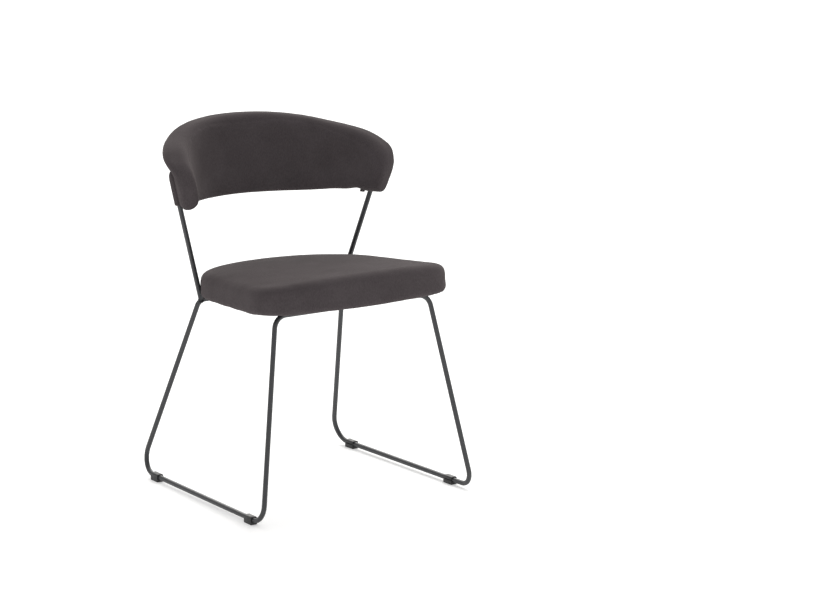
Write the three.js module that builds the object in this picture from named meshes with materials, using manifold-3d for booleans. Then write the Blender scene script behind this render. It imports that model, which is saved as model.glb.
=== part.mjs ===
// A dining chair. Two bent steel rods, welded end to end under the seat, make the sled
// base. A straight rod on each side carries the curved, padded back. The padded seat is
// screwed to four tabs on the cross rails, and four clipped glides stand on the floor.
// Millimetres, +Z up. The sitter faces -Y, and X = 0 is the plane of symmetry.
import * as THREE from "three";
import { mergeVertices } from "three/addons/utils/BufferGeometryUtils.js";
import Module from "manifold-3d";

const wasm = await Module();
wasm.setup();

// ---- Driving dimensions ----

const GAP = 0.3; // clearance between pieces that touch
const SIDES = [
  { name: "left", sign: -1, frontGlideY: -195.5 },
  { name: "right", sign: 1, frontGlideY: -169 },
];
const CENTRE_Y = 11.4; // middle of the chair's depth, which becomes Y = 0

const ROD = 10; // diameter of the steel rod
const ROD_RADIUS = ROD / 2;
const RUNNER_Z = 9.5; // axis of the floor runners
const RUNNER_FRONT = { x: 245.5, y: -244.6, bend: 30 };
const RUNNER_REAR = { x: 232.2, y: 244.6, bend: 37 };
const FRONT_RAIL = { x: 178, y: -186.5, z: 400, bend: 27.5 };
const REAR_RAIL = { x: 170.5, y: 109.4, z: 377.4, bend: 15 };
const BEND_STEPS = 8; // stations along each bend

const UPRIGHT_FOOT = new THREE.Vector3(169.4, 106.9, 384.1); // on the rear leg's axis
const UPRIGHT_LEAN = new THREE.Vector3(0.302, -0.1187, 1); // change for each mm of height
const UPRIGHT_TOP_Z = 640;
const COPE_DEPTH = 9; // how far the uncut rod runs past its foot, before it is coped

const GLIDE = {
  length: 27, width: 14.5, height: 16, topCorner: 3, footCorner: 1, slit: 2, rearY: 177,
};

const SEAT_TILT = Math.atan((FRONT_RAIL.z - REAR_RAIL.z) / (REAR_RAIL.y - FRONT_RAIL.y));
const PAD = {
  frontX: 227, frontY: -222, frontRadius: 66, // the polygon's front corners
  noseY: -266, noseRadius: 535, // the front edge bows out
  backX: 173, backY: 137, backRadius: 151, // its back corners
  tailY: 210, tailRadius: 235,
  height: 53, crown: 8, topRadius: 26, bottomRadius: 12,
};
const PLAN_STEPS = 5; // points along each rounded corner
const DOME_SCALES = [0.8, 0.55, 0.3]; // rings over the crown, as shares of the pad's plan
const FABRIC = 1.5;
const BOARD = { thickness: 12, inset: 14 };
const DUST_COVER = { thickness: 1, inset: 22 };
const HEM_INSET = 40; // how far the cover turns in under the board

const TAB = { x: 110, length: 24, width: 30, thickness: 3 };
const SEAT_SCREW = { shank: 6, length: 17, head: 11, headHeight: 3.5 };
const TEE_NUT = { flange: 18, flangeThickness: 1.6, barrel: 8, barrelLength: 9 };

// The back pad is a band that follows an arc in plan, tighter in the middle than on its
// flanks, flares outward as it rises, and leans back most at its middle.
const BACK = {
  midY: 238.4, midRadius: 219.3, midAngle: 0.855, flankRadius: 361.7, halfLength: 314.5,
  referenceZ: 600, flare: 0.325, lean: -0.282, midLean: 0.097,
  thickness: 50, edgeRadius: 19, noseRadius: 9,
  bottomZ: 558, endBottomZ: 563, topZ: 715, endTopZ: 644, topPower: 2.2,
};
const BACK_STATIONS = 24; // sections along the band
const SHELL = { inner: 0, outer: 8, endInset: 10, edgeInset: 17, stations: 28 };
const UPRIGHT_SETBACK = 23; // from the end of the band to the upright inside it
const BACK_SCREW = { shank: 4, head: 8, headHeight: 2.4, length: 17, heights: [588, 622] };

const STEEL = { color: 0x47484b, roughness: 0.42, metalness: 0.55 };
const ZINC = { color: 0xa9abad, roughness: 0.35, metalness: 0.9 };
const PLASTIC = { color: 0x26272a, roughness: 0.55, metalness: 0 };
const WOVEN = { color: 0x47413f, roughness: 0.95, metalness: 0 };
const LINING = { color: 0x1d1d1e, roughness: 1, metalness: 0 };
const FOAM = { color: 0xe6dfc8, roughness: 1, metalness: 0 };
const PLYWOOD = { color: 0xc39a68, roughness: 0.7, metalness: 0 };

// ---- Solids ----

// A mesh of one piece, in its own material.
function piece(name, geometry, material) {
  const mesh = new THREE.Mesh(geometry, new THREE.MeshStandardMaterial(material));
  mesh.name = name;
  return mesh;
}

function toSolid(geometry) {
  const bare = new THREE.BufferGeometry();
  bare.setAttribute("position", geometry.getAttribute("position"));
  bare.setIndex(geometry.index);
  const merged = mergeVertices(bare, 1e-3);
  const vertProperties = merged.attributes.position.array;
  const triVerts = new Uint32Array(merged.index.array);
  return new wasm.Manifold(new wasm.Mesh({ numProp: 3, vertProperties, triVerts }));
}

function toGeometry(solid) {
  const { vertProperties, triVerts } = solid.getMesh();
  const geometry = new THREE.BufferGeometry();
  geometry.setAttribute("position", new THREE.BufferAttribute(vertProperties, 3));
  geometry.setIndex(new THREE.BufferAttribute(triVerts, 1));
  geometry.computeVertexNormals();
  return geometry;
}

// What is left of a geometry once the tools are cut out of it. A cope can leave a sliver
// behind, so only the largest body is kept.
function cut(geometry, ...tools) {
  const rest = tools.reduce((solid, tool) => solid.subtract(toSolid(tool)), toSolid(geometry));
  const bodies = rest.decompose().sort((a, b) => b.volume() - a.volume());
  return toGeometry(bodies[0]);
}

// A closed skin through rings that all have the same number of points, with a fan over the
// first and the last ring.
function skin(rings) {
  const size = rings[0].length;
  const last = (rings.length - 1) * size;
  const points = rings.flat();
  const faces = [];
  for (let low = 0; low < last; low += size) {
    const high = low + size;
    for (let i = 0; i < size; i += 1) {
      const j = (i + 1) % size;
      faces.push(low + i, low + j, high + j, low + i, high + j, high + i);
    }
  }
  const middles = [rings[0], rings.at(-1)].map((ring) =>
    ring.reduce((sum, point) => sum.add(point), new THREE.Vector3()).divideScalar(size));
  points.push(...middles);
  for (let i = 0; i < size; i += 1) {
    const j = (i + 1) % size;
    faces.push(points.length - 2, j, i);
    faces.push(points.length - 1, last + i, last + j);
  }
  const geometry = new THREE.BufferGeometry().setFromPoints(points);
  geometry.setIndex(signedVolume(points, faces) < 0 ? faces.toReversed() : faces);
  geometry.computeVertexNormals();
  return geometry;
}

function signedVolume(points, faces) {
  let volume = 0;
  for (let i = 0; i < faces.length; i += 3) {
    const [a, b, c] = [points[faces[i]], points[faces[i + 1]], points[faces[i + 2]]];
    volume += a.dot(new THREE.Vector3().crossVectors(b, c)) / 6;
  }
  return volume;
}

// Angles from 0 to 90 degrees.
function quarterTurn(steps) {
  return Array.from({ length: steps + 1 }, (_, k) => (Math.PI / 2) * (k / steps));
}

// ---- Rods ----

// A path through fixed stations, so that an extrusion spends its steps on the bends.
class RodPath extends THREE.Curve {
  constructor(stations) {
    super();
    this.stations = stations;
  }

  station(u) {
    return this.stations[Math.round(u * (this.stations.length - 1))];
  }

  getPointAt(u) {
    return this.station(u).point.clone();
  }

  getTangentAt(u) {
    return this.station(u).tangent.clone();
  }
}

// Stations along straight runs between corners, with a round bend at each inner corner.
function rodStations(corners) {
  const stations = [];
  corners.forEach(({ at, bend }, i) => {
    const before = corners[i - 1]?.at;
    const after = corners[i + 1]?.at;
    if (!before || !after) {
      const tangent = before ? at.clone().sub(before) : after.clone().sub(at);
      stations.push({ point: at.clone(), tangent: tangent.normalize() });
      return;
    }
    const arrive = at.clone().sub(before).normalize();
    const leave = after.clone().sub(at).normalize();
    const turn = arrive.angleTo(leave);
    const side = leave.clone().addScaledVector(arrive, -leave.dot(arrive)).normalize();
    const start = at.clone().addScaledVector(arrive, -bend * Math.tan(turn / 2));
    for (let k = 0; k <= BEND_STEPS; k += 1) {
      const angle = (turn * k) / BEND_STEPS;
      const point = start.clone();
      point.addScaledVector(arrive, bend * Math.sin(angle));
      point.addScaledVector(side, bend * (1 - Math.cos(angle)));
      const tangent = arrive.clone().multiplyScalar(Math.cos(angle));
      tangent.addScaledVector(side, Math.sin(angle));
      stations.push({ point, tangent });
    }
  });
  return stations;
}

function rod(corners, radius) {
  const stations = rodStations(corners);
  const section = new THREE.Shape().absarc(0, 0, radius, 0, 2 * Math.PI);
  return new THREE.ExtrudeGeometry(section, {
    curveSegments: 6,
    steps: stations.length - 1,
    extrudePath: new RodPath(stations),
  });
}

function baseRod(sign, radius = ROD_RADIUS) {
  const corner = (x, y, z, bend) => ({ at: new THREE.Vector3(sign * x, y, z), bend });
  return rod([
    corner(GAP / 2, FRONT_RAIL.y, FRONT_RAIL.z),
    corner(FRONT_RAIL.x, FRONT_RAIL.y, FRONT_RAIL.z, FRONT_RAIL.bend),
    corner(RUNNER_FRONT.x, RUNNER_FRONT.y, RUNNER_Z, RUNNER_FRONT.bend),
    corner(RUNNER_REAR.x, RUNNER_REAR.y, RUNNER_Z, RUNNER_REAR.bend),
    corner(REAR_RAIL.x, REAR_RAIL.y, REAR_RAIL.z, REAR_RAIL.bend),
    corner(GAP / 2, REAR_RAIL.y, REAR_RAIL.z),
  ], radius);
}

// A point on an upright's axis.
function uprightAt(sign, z) {
  const point = UPRIGHT_FOOT.clone().addScaledVector(UPRIGHT_LEAN, z - UPRIGHT_FOOT.z);
  point.x *= sign;
  return point;
}

function uprightBlank(sign, radius = ROD_RADIUS, topZ = UPRIGHT_TOP_Z) {
  const ends = [uprightAt(sign, UPRIGHT_FOOT.z - COPE_DEPTH), uprightAt(sign, topZ)];
  return rod(ends.map((at) => ({ at })), radius);
}

// ---- Glides ----

// A clip with a bore for the runner and a slit that lets it snap on, extruded along Y.
function glideGeometry(sign) {
  const { length, width, height, topCorner, footCorner, slit } = GLIDE;
  const bore = ROD_RADIUS + GAP;
  const half = width / 2;
  const lip = Math.asin(slit / 2 / bore);
  const outline = new THREE.Shape();
  outline.absarc(half - footCorner, footCorner, footCorner, 0, -Math.PI / 2, true);
  outline.absarc(-half + footCorner, footCorner, footCorner, -Math.PI / 2, -Math.PI, true);
  outline.absarc(-half + topCorner, height - topCorner, topCorner, Math.PI, Math.PI / 2, true);
  outline.absarc(half - topCorner, height - topCorner, topCorner, Math.PI / 2, 0, true);
  outline.lineTo(half, RUNNER_Z + slit / 2);
  outline.absarc(0, RUNNER_Z, bore, lip, 2 * Math.PI - lip, false);
  outline.lineTo(half, RUNNER_Z - slit / 2);
  const clip = new THREE.ExtrudeGeometry(outline, {
    depth: length, bevelEnabled: false, curveSegments: 5,
  });
  clip.translate(0, 0, -length / 2);
  clip.rotateX(Math.PI / 2); // the outline's upward axis becomes +Z
  return sign > 0 ? clip.rotateZ(Math.PI) : clip; // the slit faces the middle of the chair
}

function glide(side, end, y) {
  const share = (y - RUNNER_FRONT.y) / (RUNNER_REAR.y - RUNNER_FRONT.y);
  const x = THREE.MathUtils.lerp(RUNNER_FRONT.x, RUNNER_REAR.x, share);
  const clip = piece(`glide_${end}_${side.name}`, glideGeometry(side.sign), PLASTIC);
  clip.position.set(side.sign * x, y, 0);
  const splay = (RUNNER_FRONT.x - RUNNER_REAR.x) / (RUNNER_REAR.y - RUNNER_FRONT.y);
  clip.rotation.z = side.sign * Math.atan(splay);
  return clip;
}

// ---- Seat ----

// The pad's plan: a polygon whose corners are all rounded, drawn in by `inset`.
function padPlan(inset) {
  const corners = [
    [0, PAD.noseY, PAD.noseRadius],
    [PAD.frontX, PAD.frontY, PAD.frontRadius],
    [PAD.backX, PAD.backY, PAD.backRadius],
    [0, PAD.tailY, PAD.tailRadius],
    [-PAD.backX, PAD.backY, PAD.backRadius],
    [-PAD.frontX, PAD.frontY, PAD.frontRadius],
  ].map(([x, y, radius]) => ({ at: new THREE.Vector2(x, y), radius }));
  return corners.flatMap(({ at, radius }, i) => {
    const before = corners.at(i - 1).at.clone().sub(at).normalize();
    const after = corners[(i + 1) % corners.length].at.clone().sub(at).normalize();
    const half = Math.acos(before.dot(after)) / 2;
    const toCentre = before.add(after).normalize();
    const centre = at.clone().addScaledVector(toCentre, radius / Math.sin(half));
    const sweep = Math.PI / 2 - half;
    return Array.from({ length: PLAN_STEPS + 1 }, (_, k) => {
      const angle = sweep * ((2 * k) / PLAN_STEPS - 1);
      const spoke = toCentre.clone().negate().rotateAround(new THREE.Vector2(), angle);
      return centre.clone().addScaledVector(spoke, radius - inset);
    });
  });
}

function padRing(inset, z, scale = 1) {
  return padPlan(inset).map(({ x, y }) => new THREE.Vector3(x * scale, y * scale, z));
}

// Rings up the pad's side and over its crown, `depth` inside the outer surface.
function padTop(depth) {
  const { height, topRadius, crown } = PAD;
  const reach = topRadius - depth;
  const side = quarterTurn(5).map((angle) =>
    padRing(topRadius - reach * Math.cos(angle), height - topRadius + reach * Math.sin(angle)));
  const dome = DOME_SCALES.map((scale) =>
    padRing(topRadius, height - depth + crown * (1 - scale ** 2), scale));
  return [...side, ...dome];
}

// Rings round the lower edge of the cover, which turns in just above the dust cover.
function padEdge(depth) {
  const { bottomRadius } = PAD;
  const reach = bottomRadius - depth;
  return quarterTurn(3).map((angle) =>
    padRing(bottomRadius - reach * Math.sin(angle), hemZ + bottomRadius - reach * Math.cos(angle)));
}

// A solid turned about +Z from a profile of [radius, height] points.
function turned(profile, segments) {
  const lathe = new THREE.LatheGeometry(profile.map(([r, z]) => new THREE.Vector2(r, z)), segments);
  return lathe.rotateX(Math.PI / 2);
}

function post(x, y, lowZ, highZ, radius) {
  const cylinder = new THREE.CylinderGeometry(radius, radius, highZ - lowZ, 12);
  return cylinder.rotateX(Math.PI / 2).translate(x, y, (lowZ + highZ) / 2);
}

// The pad's layers, from its underside at z = 0.
const hemZ = DUST_COVER.thickness + GAP;
const boardZ = hemZ + FABRIC + GAP;
const boardTopZ = boardZ + BOARD.thickness;

// The tabs reach in from the rails. In the seat's plane the rear rail lies at this Y.
const rearRailY = FRONT_RAIL.y
  + Math.hypot(REAR_RAIL.y - FRONT_RAIL.y, FRONT_RAIL.z - REAR_RAIL.z);
const tabs = SIDES.flatMap(({ name, sign }) => [
  { name: `front_${name}`, x: sign * TAB.x, railY: FRONT_RAIL.y, inward: 1 },
  { name: `rear_${name}`, x: sign * TAB.x, railY: rearRailY, inward: -1 },
].map((tab) => ({ ...tab, y: tab.railY + tab.inward * (ROD_RADIUS + TAB.length / 2) })));

function throughTabs(lowZ, highZ, radius) {
  return tabs.map(({ x, y }) => post(x, y, lowZ, highZ, radius));
}

function seatCover() {
  const outside = skin([padRing(HEM_INSET, hemZ), ...padEdge(0), ...padTop(0)]);
  const opening = [padRing(HEM_INSET, hemZ - 1), padRing(HEM_INSET, hemZ + FABRIC)];
  const inside = skin([...opening, ...padEdge(FABRIC), ...padTop(FABRIC)]);
  return piece("seat_cover", cut(outside, inside), WOVEN);
}

function seatFoam() {
  const depth = FABRIC + GAP;
  const foam = skin([padRing(depth, boardTopZ + GAP), ...padTop(depth)]);
  return piece("seat_foam", foam, FOAM);
}

function seatBoard() {
  const { flange, flangeThickness, barrel } = TEE_NUT;
  const slab = skin([padRing(BOARD.inset, boardZ), padRing(BOARD.inset, boardTopZ)]);
  const bores = throughTabs(boardZ - 1, boardTopZ + 1, barrel / 2 + GAP);
  const seats = throughTabs(boardTopZ - flangeThickness - GAP, boardTopZ + 1, flange / 2 + GAP);
  return piece("seat_board", cut(slab, ...bores, ...seats), PLYWOOD);
}

function dustCover() {
  const { thickness, inset } = DUST_COVER;
  const sheet = skin([padRing(inset, 0), padRing(inset, thickness)]);
  const holes = throughTabs(-1, thickness + 1, SEAT_SCREW.shank / 2 + GAP);
  return piece("seat_dust_cover", cut(sheet, ...holes), LINING);
}

function teeNut({ name, x, y }) {
  const { flange, flangeThickness, barrel, barrelLength } = TEE_NUT;
  const bore = SEAT_SCREW.shank / 2 + GAP;
  const geometry = turned([
    [bore, -barrelLength], [barrel / 2, -barrelLength], [barrel / 2, -flangeThickness],
    [flange / 2, -flangeThickness], [flange / 2, 0], [bore, 0], [bore, -barrelLength],
  ], 12);
  const nut = piece(`seat_tee_nut_${name}`, geometry, ZINC);
  nut.position.set(x, y, boardTopZ);
  return nut;
}

// A screw that points up: the seat of its head is at z = 0, with its recess below. The
// recess is half as deep as the head, and the head's rim is the top third of it.
function screwGeometry({ shank, length, head, headHeight }) {
  const recessRadius = shank * 0.45;
  const crownRadius = head * 0.36;
  const tip = 1;
  return turned([
    [0, -headHeight / 2], [recessRadius, -headHeight], [crownRadius, -headHeight],
    [head / 2, -headHeight / 3], [head / 2, 0], [shank / 2, 0], [shank / 2, length - tip],
    [0, length],
  ], 10);
}

function seatScrew({ name, x, y }) {
  const screw = piece(`seat_screw_${name}`, screwGeometry(SEAT_SCREW), ZINC);
  screw.position.set(x, y, -TAB.thickness - 2 * GAP);
  return screw;
}

// A plate welded to a rail, with a round end and a hole for the screw.
function seatTab({ name, x, y, inward }) {
  const half = TAB.width / 2;
  const outline = new THREE.Shape();
  outline.moveTo(-half, -TAB.length / 2);
  outline.lineTo(half, -TAB.length / 2);
  outline.absellipse(0, 0, half, TAB.length / 2, 0, Math.PI, false);
  const hole = new THREE.Path().absarc(0, 0, SEAT_SCREW.shank / 2 + GAP, 0, 2 * Math.PI, true);
  outline.holes.push(hole);
  const geometry = new THREE.ExtrudeGeometry(outline, {
    depth: TAB.thickness, bevelEnabled: false, curveSegments: 8,
  });
  const tab = piece(`seat_tab_${name}`, geometry, STEEL);
  tab.position.set(x, y, -TAB.thickness - GAP);
  tab.rotation.z = inward > 0 ? 0 : Math.PI;
  return tab;
}

function seat() {
  const layers = new THREE.Group();
  layers.add(seatCover(), seatFoam(), seatBoard(), dustCover());
  layers.add(...tabs.flatMap((tab) => [seatTab(tab), seatScrew(tab), teeNut(tab)]));
  layers.position.set(0, -FRONT_RAIL.y, ROD_RADIUS + GAP);
  const tilted = new THREE.Group();
  tilted.add(layers);
  tilted.position.set(0, FRONT_RAIL.y, FRONT_RAIL.z);
  tilted.rotation.x = -SEAT_TILT;
  return tilted;
}

// ---- Back ----

// A point of the back: `s` along the band from its middle, at height z, and `n` outward
// from its middle surface.
function backPoint(s, z, n) {
  const arc = Math.abs(s);
  const middleArc = BACK.midRadius * BACK.midAngle;
  const onFlank = arc > middleArc;
  const radius = onFlank ? BACK.flankRadius : BACK.midRadius;
  const shift = onFlank ? BACK.midRadius - BACK.flankRadius : 0;
  const angle = onFlank ? BACK.midAngle + (arc - middleArc) / BACK.flankRadius : arc / BACK.midRadius;
  const rise = z - BACK.referenceZ;
  const reach = radius + BACK.flare * rise + n;
  const middleShare = 1 - (arc / BACK.halfLength) ** 2;
  const lean = (BACK.lean + BACK.midLean * middleShare) * rise;
  const x = shift * Math.sin(BACK.midAngle) + reach * Math.sin(angle);
  const centreY = BACK.midY - BACK.midRadius + shift * Math.cos(BACK.midAngle);
  return new THREE.Vector3(Math.sign(s) * x, centreY + reach * Math.cos(angle) + lean, z);
}

// The height of the band's lower and upper edge.
function backEdges(s) {
  const share = Math.abs(s) / BACK.halfLength;
  return {
    low: BACK.bottomZ + (BACK.endBottomZ - BACK.bottomZ) * share ** 2,
    high: BACK.topZ + (BACK.endTopZ - BACK.topZ) * share ** BACK.topPower,
  };
}

// Places along the band, closer together where the nose at each end is rounded.
function backPlaces(depth) {
  const end = BACK.halfLength - depth;
  const nose = BACK.noseRadius - depth;
  const inner = end - nose;
  const along = Array.from({ length: BACK_STATIONS + 1 }, (_, k) =>
    inner * ((2 * k) / BACK_STATIONS - 1));
  const rounding = quarterTurn(3).slice(1).map((angle) => inner + nose * Math.sin(angle));
  return [...rounding.map((s) => -s).reverse(), ...along, ...rounding];
}

// A closed body that follows the band, `depth` inside its outer surface. Each section is a
// rectangle with rounded corners, and it shrinks over the nose at each end.
function backBody(depth) {
  const end = BACK.halfLength - depth;
  const nose = BACK.noseRadius - depth;
  return skin(backPlaces(depth).map((s) => {
    const past = THREE.MathUtils.clamp(1 - (end - Math.abs(s)) / nose, 0, 1);
    const drawnIn = nose * (1 - Math.sqrt(1 - past ** 2));
    const half = BACK.thickness / 2 - depth - drawnIn;
    const { low, high } = backEdges(s);
    const radius = Math.min(BACK.edgeRadius - depth, half - 1);
    const middles = [[1, high], [-1, high], [-1, low], [1, low]];
    return middles.flatMap(([out, edge], quarter) => quarterTurn(3).map((turn) => {
      const angle = turn + (Math.PI / 2) * quarter;
      const inside = (depth + drawnIn + radius) * (edge === high ? -1 : 1);
      const n = out * (half - radius) + radius * Math.cos(angle);
      return backPoint(s, edge + inside + radius * Math.sin(angle), n);
    }));
  }));
}

// The plywood shell inside the band, grown by `grow` on every face.
function backShellBlank(grow = 0) {
  const end = BACK.halfLength - SHELL.endInset + grow;
  const places = Array.from({ length: SHELL.stations + 1 }, (_, k) =>
    end * ((2 * k) / SHELL.stations - 1));
  return skin(places.map((s) => {
    const { low, high } = backEdges(s);
    const lowZ = low + SHELL.edgeInset - grow;
    const highZ = high - SHELL.edgeInset + grow;
    return [
      backPoint(s, lowZ, SHELL.outer + grow), backPoint(s, highZ, SHELL.outer + grow),
      backPoint(s, highZ, SHELL.inner - grow), backPoint(s, lowZ, SHELL.inner - grow),
    ];
  }));
}

// Where a screw crosses an upright, and the direction square to the shell, outward.
function screwFrame(sign, z) {
  const s = sign * (BACK.halfLength - UPRIGHT_SETBACK);
  const origin = backPoint(s, z, 0);
  const along = backPoint(s + 1, z, 0).sub(origin);
  const up = backPoint(s, z + 1, 0).sub(origin);
  const outward = new THREE.Vector3().crossVectors(up, along).normalize();
  return { at: uprightAt(sign, z), outward };
}

// Moves a shape that points up so that it points inward through an upright.
function placeScrew(geometry, { at, outward }) {
  const turn = new THREE.Quaternion().setFromUnitVectors(
    new THREE.Vector3(0, 0, 1), outward.clone().negate());
  const head = at.clone().addScaledVector(outward, ROD_RADIUS + GAP);
  return geometry.applyQuaternion(turn).translate(head.x, head.y, head.z);
}

const backScrews = SIDES.flatMap(({ name, sign }) => BACK_SCREW.heights.map((z, i) => ({
  name: `back_screw_${["lower", "upper"][i]}_${name}`, sign, frame: screwFrame(sign, z),
})));

// A straight bore round a back screw, and a wider one round its head.
function screwBore({ frame }) {
  const bore = post(0, 0, -1, BACK_SCREW.length + GAP, BACK_SCREW.shank / 2 + GAP);
  return placeScrew(bore, frame);
}

function headPocket({ frame }) {
  const pocket = post(0, 0, -BACK_SCREW.headHeight - GAP, 1, BACK_SCREW.head / 2 + GAP);
  return placeScrew(pocket, frame);
}

function back() {
  const group = new THREE.Group();
  const bores = backScrews.map(screwBore);
  const pockets = backScrews.map(headPocket);
  const sleeves = SIDES.map(({ sign }) =>
    uprightBlank(sign, ROD_RADIUS + GAP, UPRIGHT_TOP_Z + GAP));
  const foamDepth = FABRIC + GAP;
  const cover = cut(backBody(0), backBody(FABRIC), ...sleeves);
  const foam = cut(backBody(foamDepth), backShellBlank(GAP), ...sleeves, ...bores, ...pockets);
  group.add(piece("back_cover", cover, WOVEN));
  group.add(piece("back_foam", foam, FOAM));
  group.add(piece("back_shell", cut(backShellBlank(), ...bores), PLYWOOD));
  for (const { name, frame } of backScrews) {
    group.add(piece(name, placeScrew(screwGeometry(BACK_SCREW), frame), ZINC));
  }
  return group;
}

// ---- The chair ----

function base() {
  const group = new THREE.Group();
  for (const side of SIDES) {
    const bores = backScrews.filter(({ sign }) => sign === side.sign).map(screwBore);
    const upright = cut(uprightBlank(side.sign), baseRod(side.sign, ROD_RADIUS + GAP), ...bores);
    group.add(piece(`base_rod_${side.name}`, baseRod(side.sign), STEEL));
    group.add(piece(`upright_${side.name}`, upright, STEEL));
    group.add(glide(side, "front", side.frontGlideY));
    group.add(glide(side, "rear", GLIDE.rearY));
  }
  return group;
}

const chair = new THREE.Group();
chair.add(base(), seat(), back());
chair.position.set(0, -CENTRE_Y, 0);
const dining_chair = new THREE.Group();
dining_chair.add(chair);

export default dining_chair;
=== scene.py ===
# The looks of the dining chair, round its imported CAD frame. Metres, +Z up; the sitter faces -Y.
import math
from types import SimpleNamespace

import bmesh
import bpy
import numpy as np
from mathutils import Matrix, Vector
from mathutils.bvhtree import BVHTree
from mathutils.geometry import convex_hull_2d


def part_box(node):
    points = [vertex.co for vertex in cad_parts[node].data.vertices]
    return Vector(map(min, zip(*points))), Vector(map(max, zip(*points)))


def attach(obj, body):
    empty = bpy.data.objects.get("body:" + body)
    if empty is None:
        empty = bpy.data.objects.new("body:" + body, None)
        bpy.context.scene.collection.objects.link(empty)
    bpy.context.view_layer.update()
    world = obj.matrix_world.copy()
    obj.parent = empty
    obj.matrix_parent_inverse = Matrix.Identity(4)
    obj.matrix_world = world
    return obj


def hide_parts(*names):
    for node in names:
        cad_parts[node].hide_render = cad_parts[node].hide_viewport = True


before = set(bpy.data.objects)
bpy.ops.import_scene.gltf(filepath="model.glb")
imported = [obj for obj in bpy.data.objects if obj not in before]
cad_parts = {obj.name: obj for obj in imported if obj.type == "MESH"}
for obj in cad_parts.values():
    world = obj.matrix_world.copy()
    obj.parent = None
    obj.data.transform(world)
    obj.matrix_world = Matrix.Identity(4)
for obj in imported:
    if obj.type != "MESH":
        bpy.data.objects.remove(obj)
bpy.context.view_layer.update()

SIDES = {"left": -1, "right": 1}
MM = 0.001
ROD_RADIUS = 5 * MM
TAB_THICKNESS = 3 * MM

# ---- Meshes ----


def coordinates(piece):
    """The places of a mesh's vertices, one row of x, y, z each."""
    flat = np.empty(len(piece.data.vertices) * 3)
    piece.data.vertices.foreach_get("co", flat)
    return flat.reshape(-1, 3)


def normals(piece):
    flat = np.empty(len(piece.data.vertices) * 3)
    piece.data.vertex_normals.foreach_get("vector", flat)
    return flat.reshape(-1, 3)


def move_to(piece, places):
    piece.data.vertices.foreach_set("co", np.asarray(places, float).ravel())
    piece.data.update()


def new_piece(name, points, faces, material, slot, replaced=()):
    """A smooth mesh that rides on the chair and stands for some CAD nodes."""
    mesh = bpy.data.meshes.new(name)
    mesh.from_pydata([tuple(p) for p in points], [], faces)
    mesh.validate()
    tidy = bmesh.new()
    tidy.from_mesh(mesh)
    bmesh.ops.recalc_face_normals(tidy, faces=tidy.faces)
    tidy.to_mesh(mesh)
    tidy.free()
    mesh.shade_smooth()
    piece = bpy.data.objects.new(name, mesh)
    bpy.context.scene.collection.objects.link(piece)
    return dress(piece, material, replaced)


def dress(piece, material, replaced=()):
    piece.data.materials.clear()
    piece.data.materials.append(material)
    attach(piece, "root")
    if replaced:
        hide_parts(*replaced)
    return piece


def apply_modifiers(piece):
    bpy.context.view_layer.update()
    depsgraph = bpy.context.evaluated_depsgraph_get()
    mesh = bpy.data.meshes.new_from_object(piece.evaluated_get(depsgraph))
    piece.modifiers.clear()
    piece.data = mesh


def grid_faces(rows, columns, closed_rows=False, closed_columns=True):
    """Quads over a grid of points, stored row by row."""
    faces = []
    for i in range(rows if closed_rows else rows - 1):
        for j in range(columns if closed_columns else columns - 1):
            below, right = (i + 1) % rows, (j + 1) % columns
            faces.append((i * columns + j, i * columns + right,
                          below * columns + right, below * columns + j))
    return faces


def swept(centres, radii, sides=24, closed=False):
    """The points and faces of a round tube along a line of points, with a radius at each."""
    centres = np.asarray(centres, float)
    radii = np.broadcast_to(radii, len(centres))
    if closed:
        tangents = np.roll(centres, -1, 0) - np.roll(centres, 1, 0)
    else:
        tangents = np.gradient(centres, axis=0)
    tangents /= np.linalg.norm(tangents, axis=1)[:, None]
    across = np.cross(tangents[0], [0.31, 0.42, 0.85])
    points = []
    angles = np.linspace(0, 2 * math.pi, sides, endpoint=False)
    for centre, tangent, radius in zip(centres, tangents, radii):
        across = across - tangent * (across @ tangent)
        across /= np.linalg.norm(across)
        upward = np.cross(tangent, across)
        points.extend(centre + radius * (math.cos(a) * across + math.sin(a) * upward)
                      for a in angles)
    faces = grid_faces(len(centres), sides, closed)
    if not closed:
        faces += caps(len(centres), sides)
    return points, faces


def caps(rows, columns):
    """Faces that close the first and the last row of a grid."""
    last = (rows - 1) * columns
    return [tuple(range(columns)), tuple(range(last + columns - 1, last - 1, -1))]


def turned(origin, axis, profile, sides=32):
    """A shape turned about a straight axis, from pairs of distance along it and radius."""
    axis = np.asarray(axis, float) / np.linalg.norm(axis)
    across = np.cross(axis, [0.31, 0.42, 0.85])
    across /= np.linalg.norm(across)
    other = np.cross(axis, across)
    points = [origin + axis * along + radius * (math.cos(a) * across + math.sin(a) * other)
              for along, radius in profile
              for a in np.linspace(0, 2 * math.pi, sides, endpoint=False)]
    return points, grid_faces(len(profile), sides) + caps(len(profile), sides)


def joined(shapes):
    """Several shapes as one set of points and faces."""
    points, faces = [], []
    for more_points, more_faces in shapes:
        faces.extend(tuple(i + len(points) for i in face) for face in more_faces)
        points.extend(more_points)
    return points, faces


def smooth_step(value, start, end):
    """0 up to start, 1 from end on, and an even S between them."""
    share = np.clip((np.asarray(value, float) - start) / (end - start), 0, 1)
    return share * share * (3 - 2 * share)


# ---- Materials ----


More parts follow.
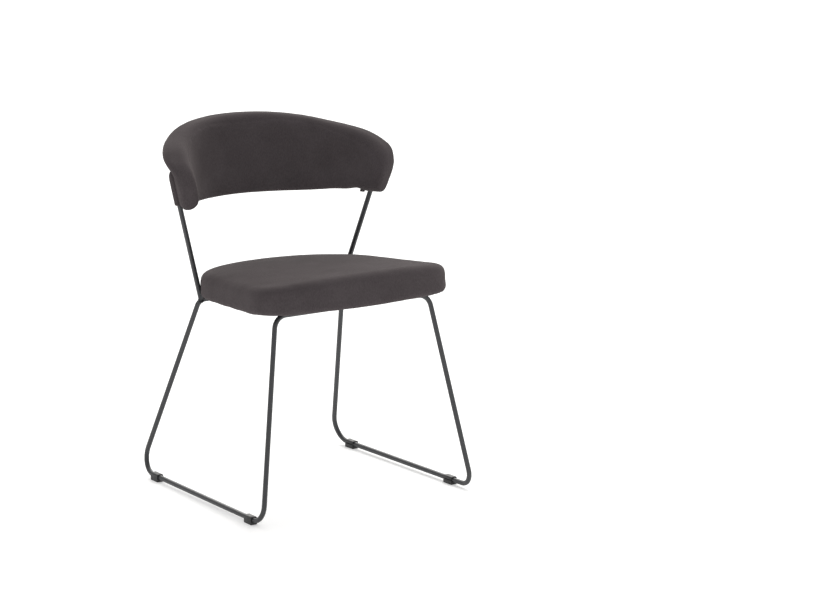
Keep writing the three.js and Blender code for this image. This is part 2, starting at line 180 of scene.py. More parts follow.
class Finish:
    """A node material, built up step by step round one Principled shader."""

    def __init__(self, name, **constants):
        self.material = bpy.data.materials.new(name)
        self.material.use_nodes = True
        self.tree = self.material.node_tree
        self.shader = self.tree.nodes["Principled BSDF"]
        self.place = self.tree.nodes.new("ShaderNodeTexCoord").outputs["Object"]
        for socket, value in constants.items():
            self.shader.inputs[socket.replace("_", " ")].default_value = value

    def node(self, kind, inputs=(), **settings):
        made = self.tree.nodes.new(kind)
        for setting, value in settings.items():
            setattr(made, setting, value)
        for socket, value in dict(inputs).items():
            if isinstance(value, bpy.types.NodeSocket):
                self.tree.links.new(value, made.inputs[socket])
            else:
                made.inputs[socket].default_value = value
        return made

    def sum(self, operation, a, b=0.0):
        return self.node("ShaderNodeMath", {0: a, 1: b}, operation=operation).outputs[0]

    def noise(self, scale, detail=2.0, place=None, roughness=0.5):
        """Noise with features of about 1 / scale metres."""
        inputs = {"Vector": place or self.place, "Scale": scale, "Detail": detail,
                  "Roughness": roughness}
        return self.node("ShaderNodeTexNoise", inputs).outputs["Fac"]

    def stretched(self, x, y, z):
        mapping = self.node("ShaderNodeMapping", {"Vector": self.place, "Scale": (x, y, z)})
        return mapping.outputs["Vector"]

    def ramp(self, value, low, high, start=0.3, end=0.7):
        """A colour that runs from low to high as value goes from start to end."""
        made = self.node("ShaderNodeValToRGB", {"Fac": value})
        for element, position, colour in zip(made.color_ramp.elements, (start, end), (low, high)):
            element.position = position
            element.color = (*colour, 1)
        return made.outputs["Color"]

    def span(self, value, low, high, start=0.3, end=0.7):
        inputs = {"Value": value, "From Min": start, "From Max": end, "To Min": low, "To Max": high}
        return self.node("ShaderNodeMapRange", inputs).outputs["Result"]

    def bump(self, height, distance, strength=1.0, under=None):
        inputs = {"Height": height, "Distance": distance, "Strength": strength}
        if under:
            inputs["Normal"] = under
        return self.node("ShaderNodeBump", inputs).outputs["Normal"]

    def use(self, **links):
        for socket, value in links.items():
            self.tree.links.new(value, self.shader.inputs[socket.replace("_", " ")])
        return self.material


def plain_weave(finish, pitch):
    """The height of a plain weave: threads over and under each other, on all three planes."""
    axes = finish.node("ShaderNodeSeparateXYZ", {0: finish.place}).outputs
    waves = [finish.sum("SINE", finish.sum("MULTIPLY", axis, math.pi / pitch)) for axis in axes]
    facing = finish.node("ShaderNodeSeparateXYZ", {
        0: finish.node("ShaderNodeNewGeometry").outputs["Normal"]}).outputs
    total = 0.0
    for i in range(3):
        share = finish.sum("POWER", finish.sum("ABSOLUTE", facing[i]), 2.0)
        crossing = finish.sum("MULTIPLY", waves[(i + 1) % 3], waves[(i + 2) % 3])
        total = finish.sum("ADD", finish.sum("MULTIPLY", share, crossing), total)
    return total


def cloth_finish(name, low, high, pitch=1.1 * MM):
    """Close-woven cloth: mottled yarn, a fine weave, and a soft warm sheen."""
    finish = Finish(name, Roughness=0.95, Sheen_Weight=0.04, Sheen_Roughness=0.5,
                    Sheen_Tint=(1, 0.86, 0.8, 1), Specular_IOR_Level=0.1)
    yarn = finish.noise(700.0, 1.0, finish.stretched(1, 1, 0.35))
    cloud = finish.noise(14.0, 3.0)
    mottled = finish.sum("ADD", finish.sum("MULTIPLY", yarn, 0.55),
                         finish.sum("MULTIPLY", cloud, 0.45))
    weave = finish.bump(plain_weave(finish, pitch), 0.12 * MM, 0.55)
    fuzz = finish.bump(finish.noise(1900.0, 2.0), 0.1 * MM, 0.5, weave)
    return finish.use(Base_Color=finish.ramp(mottled, low, high, 0.34, 0.66), Normal=fuzz)


def powder_coat():
    """Satin powder coat: a fine orange peel, and a shine that varies a little in patches."""
    finish = Finish("powder_coat", Metallic=0.35, Specular_IOR_Level=0.5)
    speckle = finish.noise(1400.0, 2.0)
    wear = finish.noise(22.0, 4.0, roughness=0.65)
    colour = finish.ramp(speckle, (0.036, 0.037, 0.040), (0.056, 0.057, 0.061))
    roughness = finish.span(wear, 0.34, 0.52)
    peel = finish.bump(finish.noise(620.0, 1.0), 0.05 * MM, 0.5)
    return finish.use(Base_Color=colour, Roughness=roughness, Normal=peel)


def moulded_plastic():
    finish = Finish("moulded_plastic", Specular_IOR_Level=0.4)
    grain = finish.noise(1500.0, 2.0)
    scuff = finish.noise(60.0, 5.0, roughness=0.7)
    colour = finish.ramp(scuff, (0.017, 0.017, 0.018), (0.034, 0.034, 0.036), 0.35, 0.75)
    return finish.use(Base_Color=colour, Roughness=finish.span(scuff, 0.42, 0.62),
                      Normal=finish.bump(grain, 0.06 * MM, 0.5))


def zinc_plate():
    finish = Finish("zinc_plate", Metallic=1.0)
    stain = finish.noise(240.0, 3.0)
    return finish.use(
        Base_Color=finish.ramp(stain, (0.36, 0.37, 0.37), (0.52, 0.52, 0.5)),
        Roughness=finish.span(stain, 0.24, 0.4),
        Normal=finish.bump(finish.noise(2600.0, 1.0), 0.02 * MM, 0.4))


def birch_plywood():
    """Plies that show on the edges, and grain along X on the faces."""
    finish = Finish("birch_plywood", Roughness=0.62)
    grain = finish.noise(6.0, 4.0, finish.stretched(3, 60, 60))
    height = finish.node("ShaderNodeSeparateXYZ", {0: finish.place}).outputs["Z"]
    plies = finish.sum("SINE", finish.sum("MULTIPLY", height, math.pi / (1.4 * MM)))
    mixed = finish.sum("ADD", grain, finish.sum("MULTIPLY", plies, 0.12))
    colour = finish.ramp(mixed, (0.36, 0.21, 0.10), (0.60, 0.42, 0.24), 0.3, 0.72)
    return finish.use(Base_Color=colour, Normal=finish.bump(grain, 0.2 * MM, 0.4))


def lining_cloth():
    """Black non-woven lining with its pattern of heat-pressed dots."""
    finish = Finish("lining_cloth", Roughness=0.88, Specular_IOR_Level=0.3)
    cells = finish.node("ShaderNodeTexVoronoi", {
        "Vector": finish.place, "Scale": 620.0, "Randomness": 0.15})
    dots = finish.span(cells.outputs["Distance"], 0.0, 1.0, 0.15, 0.4)
    fibre = finish.noise(900.0, 3.0)
    colour = finish.ramp(fibre, (0.010, 0.010, 0.011), (0.024, 0.024, 0.026))
    pressed = finish.bump(dots, 0.15 * MM, 0.6)
    return finish.use(Base_Color=colour, Normal=finish.bump(fibre, 0.1 * MM, 0.4, pressed))


CLOTH = cloth_finish("upholstery_cloth", (0.0495, 0.0418, 0.044), (0.0715, 0.061, 0.0645))
THREAD = cloth_finish("sewing_thread", (0.040, 0.036, 0.035), (0.060, 0.054, 0.052), 0.5 * MM)
STEEL = powder_coat()
PLASTIC = moulded_plastic()
ZINC = zinc_plate()
PLYWOOD = birch_plywood()
LINING = lining_cloth()

# ---- Steel frame ----


def welded_mesh(node):
    """A copy of a CAD node's mesh in which faces share their corners."""
    copy = bmesh.new()
    copy.from_mesh(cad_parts[node].data)
    bmesh.ops.remove_doubles(copy, verts=copy.verts, dist=0.01 * MM)
    return copy


def rod_line(node):
    """The middles of a CAD rod's sections, from its front end by the seat's middle."""
    low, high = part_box(node)
    copy = welded_mesh(node)
    ends = [v for v in copy.verts if abs(v.co.x) < 1 * MM]
    section = [v for v in ends if v.co.y < (low.y + high.y) / 2]
    seen, line = set(section), []
    while section:
        line.append(np.mean([v.co for v in section], axis=0))
        beyond = {e.other_vert(v) for v in section for e in v.link_edges} - seen
        seen |= beyond
        section = list(beyond)
    copy.free()
    return np.array(line)


def straight_line(node):
    """The top of a straight CAD rod and the direction down it. Its long faces all face away
    from its axis, so the axis is the direction that they face least."""
    copy = welded_mesh(node)
    facing = [f.normal for f in copy.faces if max(e.calc_length() for e in f.edges) > 50 * MM]
    down = np.linalg.svd(np.array(facing))[2][2]
    down *= -np.sign(down[2])
    places = np.array([v.co for v in copy.verts])
    reach = places @ down
    top = places[reach < reach.min() + 0.1 * MM].mean(axis=0)
    copy.free()
    return top, down


def nearest_on_line(point, line):
    """How far a point is from a line of points."""
    starts, steps = line[:-1], np.diff(line, axis=0)
    share = np.clip(((point - starts) * steps).sum(1) / (steps ** 2).sum(1), 0, 1)
    return np.linalg.norm(point - starts - share[:, None] * steps, axis=1).min()


def bead(path, radius=1.6 * MM, closed=False):
    """A weld along a path: a rounded bead with a ripple every 1.6 mm."""
    path = np.asarray(path, float)
    along = np.r_[0, np.linalg.norm(np.diff(path, axis=0), axis=1).cumsum()]
    ripple = 1 + 0.13 * np.sin(2 * math.pi * along / (1.6 * MM))
    return swept(path, radius * ripple, 10, closed)


def circle_round(centre, axis, radius, count):
    return turned(centre, axis, [(0, radius), (1, radius)], count)[0][:count]


def build_side_rod(side):
    line = rod_line(f"base_rod_{side}")
    points, faces = swept(line, ROD_RADIUS, 32)
    new_piece(f"side_rod_{side}", points, faces, STEEL, "frame_steel", [f"base_rod_{side}"])
    return line


def foot_reaches(starts, down, line):
    """How far down each line along the upright's surface meets, or comes nearest, the side rod."""
    depths = np.arange(0.24, 0.29, 0.5 * MM)
    reaches = []
    for start in starts:
        gaps = np.array([nearest_on_line(start + down * depth, line) for depth in depths])
        meets = np.flatnonzero(gaps < ROD_RADIUS)
        reaches.append(depths[meets[0] if len(meets) else gaps.argmin()])
    smooth = np.array(reaches)
    for _ in range(12):
        smooth = (np.roll(smooth, 1) + 2 * smooth + np.roll(smooth, -1)) / 4
    return smooth


def build_upright(side, side_line):
    """The upright, down into the rear bend, and the weld round its foot."""
    top, down = straight_line(f"upright_{side}")
    length = (top[2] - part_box(f"upright_{side}")[0].z - 4 * MM) / -down[2]
    rounding = [(0, 0.80), (0.4 * MM, 0.93), (1 * MM, 1.0), (length, 1.0)]
    profile = [(along, share * ROD_RADIUS) for along, share in rounding]
    points, faces = turned(top, down, profile)
    new_piece(f"upright_rod_{side}", points, faces, STEEL, "frame_steel", [f"upright_{side}"])
    surface_lines = circle_round(top, down, ROD_RADIUS, 96)
    reaches = foot_reaches(surface_lines, down, side_line)
    return bead([start + down * r for start, r in zip(surface_lines, reaches)], closed=True)


def build_steel_frame():
    """Both side rods and uprights, with the welds at the feet and where the side rods meet."""
    welds = []
    for side in SIDES:
        line = build_side_rod(side)
        welds.append(build_upright(side, line))
    for end in (0, -1):
        joint = circle_round(line[end] * (0, 1, 1), (1, 0, 0), ROD_RADIUS, 80)
        welds.append(bead(joint, closed=True))
    new_piece("frame_welds", *joined(welds), STEEL, "frame_steel")


def build_tab_welds():
    """A bead under each seat tab, where it meets its rail."""
    beads = []
    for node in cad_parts:
        if node.startswith("seat_tab"):
            low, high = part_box(node)
            front = low.y < 0
            end = low.y if front else high.y
            under = high.z - TAB_THICKNESS if front else low.z
            path = [(x, end, under + 0.4 * MM) for x in np.linspace(low.x, high.x, 90)]
            beads.append(bead(path))
    new_piece("tab_welds", *joined(beads), STEEL, "frame_steel")


def build_glide(side, end):
    """A clipped glide: its CAD shape with the soft edges of a moulding."""
    node = f"glide_{end}_{side}"
    copy = welded_mesh(node)
    bmesh.ops.dissolve_limit(copy, angle_limit=math.radians(2), verts=copy.verts, edges=copy.edges)
    mesh = bpy.data.meshes.new(f"foot_{end}_{side}")
    copy.to_mesh(mesh)
    copy.free()
    glide = bpy.data.objects.new(f"foot_{end}_{side}", mesh)
    bpy.context.scene.collection.objects.link(glide)
    bevel = glide.modifiers.new("soft_edges", "BEVEL")
    bevel.width = 0.6 * MM
    bevel.segments = 3
    bevel.angle_limit = math.radians(28)
    apply_modifiers(glide)
    glide.data.shade_smooth()
    dress(glide, PLASTIC, [node])


build_steel_frame()
build_tab_welds()
for side in SIDES:
    for end in ("front", "rear"):
        build_glide(side, end)

# ---- Padding ----


def linked(name, points, faces):
    mesh = bpy.data.meshes.new(name)
    mesh.from_pydata([tuple(p) for p in points], [], faces)
    piece = bpy.data.objects.new(name, mesh)
    bpy.context.scene.collection.objects.link(piece)
    return piece


def remeshed(name, points, faces, voxel):
    """A closed form remade of small even quads that lie on the form itself."""
    piece = linked(name, points, faces)
    surface = BVHTree.FromPolygons([Vector(p) for p in points], faces)
    remesh = piece.modifiers.new("even_quads", "REMESH")
    remesh.mode = "VOXEL"
    remesh.voxel_size = voxel
    apply_modifiers(piece)
    places = [surface.find_nearest(Vector(p))[0] for p in coordinates(piece)]
    move_to(piece, places)
    return piece


def relax(piece, rounds, share=0.5):
    """Evens a mesh out: each point moves towards the middle of its neighbours."""
    edges = np.empty(len(piece.data.edges) * 2, int)
    piece.data.edges.foreach_get("vertices", edges)
    a, b = edges.reshape(-1, 2).T
    places = coordinates(piece)
    count = np.bincount(np.r_[a, b], minlength=len(places))[:, None]
    for _ in range(rounds):
        total = np.zeros_like(places)
        np.add.at(total, a, places[b])
        np.add.at(total, b, places[a])
        places += share * (total / count - places)
    move_to(piece, places)


def stuff(piece, cap, pressure=4.0, held=()):
    """Blows a closed form up like a filled cover. A point moves outward only, by no more than
    its cap, and the held points don't move."""
    start, facing = coordinates(piece), normals(piece)
    cloth = piece.modifiers.new("stuffing", "CLOTH")
    cloth.settings.use_pressure = True
    cloth.settings.uniform_pressure_force = pressure
    cloth.settings.effector_weights.gravity = 0
    if len(held):
        group = piece.vertex_groups.new(name="held")
        group.add([int(i) for i in held], 1.0, "ADD")
        cloth.settings.vertex_group_mass = "held"
    scene = bpy.context.scene
    for step in range(1, 21):
        scene.frame_set(step)
    shown = piece.evaluated_get(bpy.context.evaluated_depsgraph_get())
    flat = np.empty(len(start) * 3)
    shown.data.vertices.foreach_get("co", flat)
    move = flat.reshape(-1, 3) - start
    scene.frame_set(1)
    piece.modifiers.clear()
    piece.vertex_groups.clear()
    inward = np.minimum((move * facing).sum(axis=1), 0)
    move -= facing * inward[:, None]
    length = np.maximum(np.linalg.norm(move, axis=1), 1e-9)
    kept = cap * np.tanh(length / cap) / length
    kept[list(held)] = 0
    move_to(piece, start + move * kept[:, None])


def subdivide_once(piece):
    subdivision = piece.modifiers.new("fine", "SUBSURF")
    subdivision.levels = subdivision.render_levels = 1
    apply_modifiers(piece)


# ---- Seat pad ----

# Heights above the underside and sizes of the seat pad before it is stuffed, in millimetres.
SEAT = SimpleNamespace(
    edge=50.5, front_bulge=12.5, rear_fall=3.5, middle=59.5,
    upper_radius=18, lower_radius=8, growth=2.5, droop=3.2, grid=5)
SEAT_POINTS = 240  # round the pad
STAPLES = 36
STEPS_PER_STAPLE = 8


def flat_side(node, towards):
    """A point and the direction of the flat side of a CAD node that faces most nearly that way."""
    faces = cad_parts[node].data.polygons
    side = max((f for f in faces if f.normal.dot(towards) > 0.95), key=lambda f: f.area)
    return np.array(side.center), np.array(side.normal)


def outline_of(node, count, depth=0.1 * MM):
    """Evenly spaced points round the underside of a seat node, and its downward direction. All
    that is within the depth of the underside is counted in."""
    _, down = flat_side("seat_dust_cover", Vector((0, 0, -1)))
    places = np.array([v.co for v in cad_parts[node].data.vertices])
    height = (places @ down).max() - places @ down
    rim = (places + down * height[:, None])[height < depth]
    order = convex_hull_2d([p[:2] for p in rim])
    loop = rim[order + order[:1]]
    along = np.r_[0, np.linalg.norm(np.diff(loop, axis=0), axis=1).cumsum()]
    even = np.linspace(0, along[-1], count, endpoint=False)
    return np.array([np.interp(even, along, loop[:, i]) for i in range(3)]).T, down


def seat_edge_heights(outline, middle):
    """How high the pad's edge is at each outline point: most in the middle of the front."""
    across = (outline - middle)[:, 0] / np.ptp(outline[:, 0]) * 2
    front = smooth_step(middle[1] - outline[:, 1], 90 * MM, 215 * MM)
    rear = smooth_step(outline[:, 1] - middle[1], 60 * MM, 180 * MM)
    bulge = SEAT.front_bulge * front * (1 - 0.75 * across ** 2)
    return SEAT.edge + bulge - SEAT.rear_fall * rear


def seat_form():
    """The seat pad before it is stuffed: rings from the middle of its underside, round its
    edge, and over its crowned top to the middle again."""
    outline, down = outline_of("seat_cover", SEAT_POINTS, SEAT.edge * MM)
    for _ in range(10):
        outline = (np.roll(outline, 1, 0) + 2 * outline + np.roll(outline, -1, 0)) / 4
    middle = outline.mean(axis=0)
    outward = np.cross(np.roll(outline, -1, 0) - np.roll(outline, 1, 0), -down)
    outward /= np.linalg.norm(outward, axis=1)[:, None]
    edge = seat_edge_heights(outline, middle)
    quarter = np.linspace(0, math.pi / 2, 7)
    low, high = SEAT.lower_radius, SEAT.upper_radius
    # Each ring: its share of the outline, how far it lies outside that, and its height.
    rings = [(share, -low * share, 0) for share in (0.04, 0.3, 0.6, 0.85)]
    rings += [(1, low * (math.sin(a) - 1), low * (1 - math.cos(a))) for a in quarter]
    rings += [(1, high * (math.cos(a) - 1), edge + high * (math.sin(a) - 1)) for a in quarter]
    rings += [(share, -high * share, edge + (SEAT.middle - edge) * (1 - share ** 2.5))
              for share in (0.92, 0.84, 0.74, 0.6, 0.45, 0.3, 0.15, 0.04)]
    outline += outward * SEAT.growth * MM
    points = [middle + (outline - middle) * share
              + (outward * out - down * np.reshape(height, (-1, 1))) * MM
              for share, out, height in rings]
    faces = grid_faces(len(rings), SEAT_POINTS) + caps(len(rings), SEAT_POINTS)
    return np.concatenate(points), faces


def rim_share(places, outline):
    """How far out each place is, seen from above: 1 on the outline, less inside it."""
    middle = outline.mean(axis=0)
    rim, away = (outline - middle)[:, :2], (places - middle)[:, :2]
    angles = np.arctan2(rim[:, 1], rim[:, 0])
    order = np.argsort(angles)
    reach = np.interp(np.arctan2(away[:, 1], away[:, 0]), angles[order],
                      np.linalg.norm(rim, axis=1)[order], period=2 * math.pi)
    return np.linalg.norm(away, axis=1) / reach


def build_seat_pad():
    """The seat: a crowned pad, flat where its board is, with soft pulls at its front corners."""
    below, down = flat_side("seat_dust_cover", Vector((0, 0, -1)))
    outline, _ = outline_of("seat_dust_cover", 200)
    pad = remeshed("seat_pad", *seat_form(), SEAT.grid * MM)
    relax(pad, 2)
    places, facing = coordinates(pad), normals(pad)
    height = (below - places) @ down
    bulge = 1 - smooth_step(facing[:, 2], 0.2, 0.8)
    out = smooth_step(rim_share(places, outline), 1.0, 1.1)
    droop = (1 - smooth_step(height, 4 * MM, 40 * MM)) * out
    places += down * (droop * SEAT.droop * MM)[:, None]
    move_to(pad, places)
    held = np.flatnonzero((height < 4 * MM) & (out == 0))
    stuff(pad, (1.5 + 2.5 * bulge) * MM, held=held)
    relax(pad, 2)
    subdivide_once(pad)
    pull_corners(pad)
    pad.data.shade_smooth()
    dress(pad, CLOTH, ["seat_cover", "seat_foam"])


def pull_corners(pad):
    """Faint folds in the cloth where it is drawn round the two front corners."""
    low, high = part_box("seat_cover")
    places, facing = coordinates(pad), normals(pad)
    for sign in SIDES.values():
        corner = np.array([sign * (high.x - 40 * MM), low.y + 30 * MM, (low.z + high.z) / 2])
        away = places - corner
        distance = np.linalg.norm(away * (1, 1, 1.5), axis=1)
        angle = np.arctan2(away[:, 2], np.hypot(away[:, 0], away[:, 1]))
        fold = np.sin(9 * angle + 60 * away[:, 0]) * np.exp(-(distance / (55 * MM)) ** 2)
        places += facing * (0.45 * MM * fold)[:, None]
    move_to(pad, places)


def build_lining():
    """The lining stapled under the seat: it sags a little in the middle and between staples."""
    outline, down = outline_of("seat_dust_cover", STAPLES * STEPS_PER_STAPLE)
    middle = outline.mean(axis=0)
    rings = np.linspace(1, 0.05, 14)
    waves = np.cos(np.arange(len(outline)) * 2 * math.pi / STEPS_PER_STAPLE)
    scallop = 0.15 * MM * (1 - waves)
    points = []
    for share in rings:
        sag = 1.5 * MM * (1 - share ** 2) + scallop * share ** 12
        points.extend(middle + (outline - middle) * share + down * sag[:, None])
    faces = grid_faces(len(rings), len(outline))
    last = (len(rings) - 1) * len(outline)
    faces.append(tuple(range(last, last + len(outline))))
    piece = new_piece("seat_lining", points, faces, LINING, "lining", ["seat_dust_cover"])
    solid = piece.modifiers.new("thickness", "SOLIDIFY")
    solid.thickness = 0.5 * MM
    solid.offset = 1
    apply_modifiers(piece)
    build_staples(outline, middle, down)


def build_staples(outline, middle, down):
    staples = []
    for i in range(0, len(outline), STEPS_PER_STAPLE):
        inward = (middle - outline[i]) / np.linalg.norm(middle - outline[i])
        along = np.cross(inward, down)
        at = outline[i] + inward * 5 * MM + down * 0.9 * MM
        legs = [(-5, -1.6), (-4.8, -0.3), (-4.3, 0), (4.3, 0), (4.8, -0.3), (5, -1.6)]
        path = [at + along * a * MM + down * b * MM for a, b in legs]
        staples.append(swept(path, 0.45 * MM, 8))
    new_piece("lining_staples", *joined(staples), ZINC, "zinc_hardware")


build_seat_pad()
build_lining()

# ---- Back pad ----

# The band as in the CAD source, in millimetres.
BAND = SimpleNamespace(
    middle_y=227.0, middle_radius=219.3, middle_angle=0.855, flank_radius=361.7,
    half_length=314.5, flare=0.325, lean=-0.282, middle_lean=0.097, reference_z=600)
PAD_END = 329  # how far along the band the pad reaches, in mm
TILT = 0.020  # the band sits a little higher on the left
END_ROUNDING = 34  # how far from its ends the pad's top starts to fall
SECTION_POINTS = 150
SLEEVE_MOUTH = 581.5 * MM


def band_point(s, z, n):
    """A point of the back pad, s mm along the band, z mm high and n mm outward."""
    arc = np.abs(s)
    middle_arc = BAND.middle_radius * BAND.middle_angle
    flank = arc > middle_arc
    radius = np.where(flank, BAND.flank_radius, BAND.middle_radius)
    shift = BAND.middle_radius - radius
    angle = np.where(flank, BAND.middle_angle + (arc - middle_arc) / radius, arc / radius)
    rise = z - BAND.reference_z
    reach = radius + BAND.flare * rise + n
    lean = BAND.lean + BAND.middle_lean * (1 - (arc / BAND.half_length) ** 2)
    x = shift * math.sin(BAND.middle_angle) + reach * np.sin(angle)
    centre_y = BAND.middle_y - BAND.middle_radius + shift * math.cos(BAND.middle_angle)
    y = centre_y + reach * np.cos(angle) + lean * rise
    return np.array([np.sign(s) * x, y, z - TILT * s]).T * MM


def band_edges(s):
    """The heights of the band's lower and upper edge."""
    share = abs(s) / BAND.half_length
    notch = math.exp(-((abs(s) - 268) / 17) ** 2)
    low = 556.5 + 10.5 * share ** 2 + 5 * notch + 4 * math.exp(-((abs(s) - 225) / 45) ** 2)
    high = 716.5 - 71 * share ** 2.2 + 13 * float(smooth_step(share, 0.5, 0.95))
    high -= 6 * float(smooth_step(abs(s), 235, 315))
    return low, high


def drawn_in(s, radius):
    """How far the pad's sides have closed in at s, where its end is rounded by radius."""
    past = min(max(1 - (PAD_END - abs(s)) / radius, 0), 1)
    return radius * (1 - math.sqrt(1 - past ** 2))


def outer_limit(s, z):
    """How far outward the pad reaches: less down the flanks, where the uprights run."""
    flank = smooth_step(abs(s), 110, 210)
    return 24 + flank * (0.5 - 10.5 * (1 - smooth_step(z, 634, 668)))


def band_section(s):
    """A closed line round the pad at s, as n and z: rounded corners joined by straight sides."""
    share = abs(s) / BAND.half_length
    low, high = band_edges(s)
    inner = -23.5 + drawn_in(s, 8)
    outer = 25 - drawn_in(s, 13)
    low += drawn_in(s, 6)
    high -= drawn_in(s, END_ROUNDING)
    wide = outer - inner
    corners = [(inner, high, min(12 + 4 * share, wide * 0.49), 90),
               (outer, high, min(19 - 7 * share ** 2, wide * 0.49), 0),
               (outer, low, min(19 - 5 * share ** 3, wide * 0.36), -90),
               (inner, low, min(10 + 17 * share ** 3, wide * 0.6), -180)]
    line = []
    for n, z, radius, start in corners:
        middle_n = n - math.copysign(radius, n - (inner + outer) / 2)
        middle_z = z - math.copysign(radius, z - (low + high) / 2)
        for step in np.radians(np.linspace(start + 90, start, 9)):
            line.append((middle_n + radius * math.cos(step), middle_z + radius * math.sin(step)))
    line = np.array(line + line[:1])
    along = np.r_[0, np.linalg.norm(np.diff(line, axis=0), axis=1).cumsum()]
    even = np.linspace(0, along[-1], SECTION_POINTS, endpoint=False)
    n, z = (np.interp(even, along, line[:, i]) for i in range(2))
    n = np.where(n > 0, n * outer_limit(s, z) / 25, n)
    return band_point(np.full(len(n), s), z, n)


def build_back_pad():
    """The back: sections along the band, closer together where its ends are rounded."""
    turn = PAD_END - END_ROUNDING
    straight = np.linspace(0, turn, 80)
    rounding = turn + END_ROUNDING * np.sin(np.linspace(0, math.pi / 2, 20))[1:]
    half = np.r_[straight, rounding]
    places = np.r_[-half[:0:-1], half]
    points = np.concatenate([band_section(float(s)) for s in places])
    faces = grid_faces(len(places), SECTION_POINTS) + caps(len(places), SECTION_POINTS)
    pad = remeshed("back_pad", points, faces, 4 * MM)
    relax(pad, 1)
    stuff(pad, 2.5 * MM)
    subdivide_once(pad)
    pad.data.shade_smooth()
    dress(pad, CLOTH, ["back_cover", "back_foam"])
    build_back_seam(pad)


def build_back_seam(pad):
    """The closing seam along the underside of the back: a cord, and stitches along it."""
    surface = BVHTree.FromPolygons([v.co for v in pad.data.vertices],
                                   [f.vertices for f in pad.data.polygons])
    line = []
    for s in np.linspace(-262, 262, 263):
        below = band_point(np.array([s]), np.array([band_edges(s)[0] - 12.0]), np.array([9.0]))
        line.append(np.array(surface.find_nearest(Vector(below[0]))[0]))
    line = np.array(line)
    for _ in range(4):
        line[1:-1] = (line[:-2] + 2 * line[1:-1] + line[2:]) / 4
    new_piece("back_seam", *swept(line, 0.9 * MM, 10), CLOTH, "upholstery")
    proud = line - (0, 0, 0.5 * MM)
    stitches = [swept(proud[[i, i + 2]], 0.55 * MM, 8) for i in range(2, len(line) - 3, 3)]
    new_piece("back_seam_stitches", *joined(stitches), THREAD, "upholstery")


def build_sleeve(side):
    """The close sleeve of cloth down an upright, with a hem at its mouth."""
    top, down = straight_line(f"upright_{side}")
    mouth = (top[2] - SLEEVE_MOUTH) / -down[2]
    hem = [(2.5, 5.1), (0.3, 5.7), (0.0, 7.2), (0.6, 8.6), (2.0, 9.2), (6.0, 9.2), (7.0, 8.6),
           (8.0, 9.1), (20.0, 9.0), (56.0, 8.8), (65.0, 7.6), (71.0, 5.0), (73.0, 2.0)]
    profile = [(mouth - above * MM, radius * MM) for above, radius in hem]
    new_piece(f"sleeve_{side}", *turned(top, down, profile, 40), CLOTH, "upholstery")


def build_pull_tab(side):
    """A small folded tab of the cover that shows below the pad, beside the upright."""
    middle, half, corner = 277, 5.5, 1.5
    low = band_edges(middle)[0]
    rings = []
    for along in (-half, -half + 0.5, -half + corner, half - corner, half - 0.5, half):
        shrink = corner * (1 - math.sqrt(1 - max(0, (abs(along) - half + corner) / corner) ** 2))
        angles = np.radians(np.arange(0, 360, 30))
        n = 4 + (1.8 - shrink * 0.6) * np.cos(angles)
        z = low + 1 + 8 * np.sign(np.sin(angles)) * np.abs(np.sin(angles)) ** 0.4
        z = np.maximum(z, low - 7 + shrink)
        rings.append(band_point(np.full(12, SIDES[side] * (middle + along)), z, n))
    faces = grid_faces(len(rings), 12) + caps(len(rings), 12)
    new_piece(f"pull_tab_{side}", np.concatenate(rings), faces, CLOTH, "upholstery")


build_back_pad()
for side in SIDES:
    build_sleeve(side)
    build_pull_tab(side)

# ---- Finishes of the CAD nodes that stay ----

KEPT = {"seat_tab": STEEL, "seat_screw": ZINC, "seat_tee_nut": ZINC, "back_screw": ZINC,
        "seat_board": PLYWOOD, "back_shell": PLYWOOD}
for node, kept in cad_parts.items():
    for start, finish in KEPT.items():
        if node.startswith(start):
            kept.data.materials.clear()
            kept.data.materials.append(finish)

# ---- Camera, light and floor ----


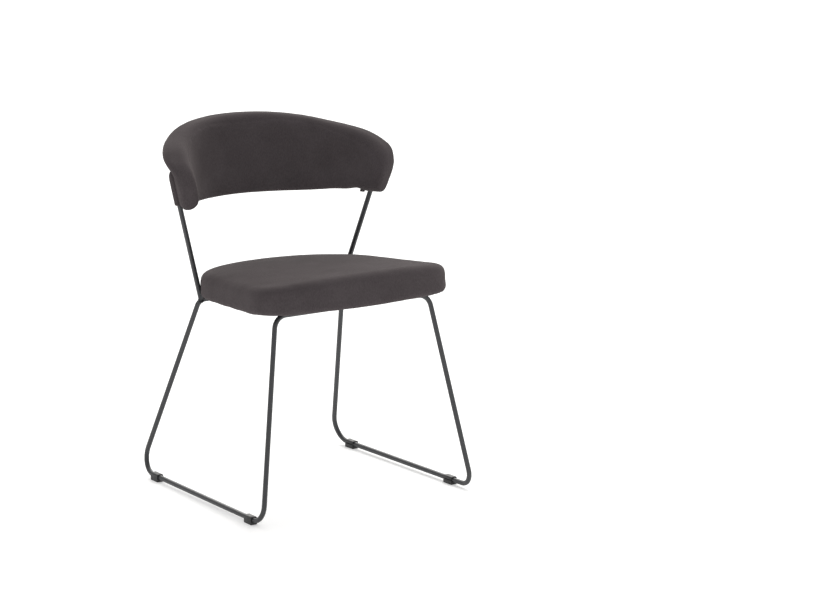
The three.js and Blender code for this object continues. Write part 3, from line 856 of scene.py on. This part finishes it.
def build_camera():
    """A long lens in front of the chair, to its -X side and a little above the back."""
    data = bpy.data.cameras.new("camera")
    data.lens = 172.15
    data.sensor_width = 36
    camera = bpy.data.objects.new("camera", data)
    camera.location = (-4.110, -6.4714, 2.088)
    camera.rotation_euler = (math.radians(90 - 12.61), 0, math.radians(-34.12))
    bpy.context.scene.collection.objects.link(camera)
    bpy.context.scene.camera = camera


def build_sun(name, strength, spread, tilt, turn, colour=(1, 1, 1)):
    """A wide soft light from far away: tilt from straight down, turned about Z."""
    data = bpy.data.lights.new(name, "SUN")
    data.energy = strength
    data.angle = math.radians(spread)
    data.color = colour
    sun = bpy.data.objects.new(name, data)
    sun.rotation_euler = (math.radians(tilt), 0, math.radians(turn))
    bpy.context.scene.collection.objects.link(sun)


SKY = 0.72  # how bright the surroundings are, except to the camera, which sees plain white


def build_studio():
    """A wide softbox above and behind the chair, in bright surroundings."""
    build_sun("softbox", 2.9, 70, 48, 138, (1, 0.985, 0.955))
    world = bpy.data.worlds.new("studio")
    world.use_nodes = True
    tree = world.node_tree
    seen = tree.nodes.new("ShaderNodeLightPath").outputs["Is Camera Ray"]
    strength = tree.nodes.new("ShaderNodeMapRange")
    strength.inputs["To Min"].default_value = SKY
    tree.links.new(seen, strength.inputs["Value"])
    background = tree.nodes["Background"]
    background.inputs["Color"].default_value = (1, 1, 1, 1)
    tree.links.new(strength.outputs["Result"], background.inputs["Strength"])
    bpy.context.scene.world = world
    bpy.context.scene.view_settings.view_transform = "Standard"


def build_floor():
    """A pale floor that glows a little, so that shadows on it stay faint."""
    half = 40.0
    mesh = bpy.data.meshes.new("floor")
    corners = [(-half, -half, 0), (half, -half, 0), (half, half, 0), (-half, half, 0)]
    mesh.from_pydata(corners, [], [(0, 1, 2, 3)])
    floor = bpy.data.objects.new("floor", mesh)
    finish = Finish("floor_paint", Roughness=0.9, Specular_IOR_Level=0.1)
    tone = finish.ramp(finish.noise(3.0), (0.86, 0.86, 0.86), (0.88, 0.88, 0.88))
    finish.shader.inputs["Emission Color"].default_value = (1, 1, 1, 1)
    finish.shader.inputs["Emission Strength"].default_value = 0.25
    mesh.materials.append(finish.use(Base_Color=tone))
    bpy.context.scene.collection.objects.link(floor)


build_camera()
build_studio()
build_floor()
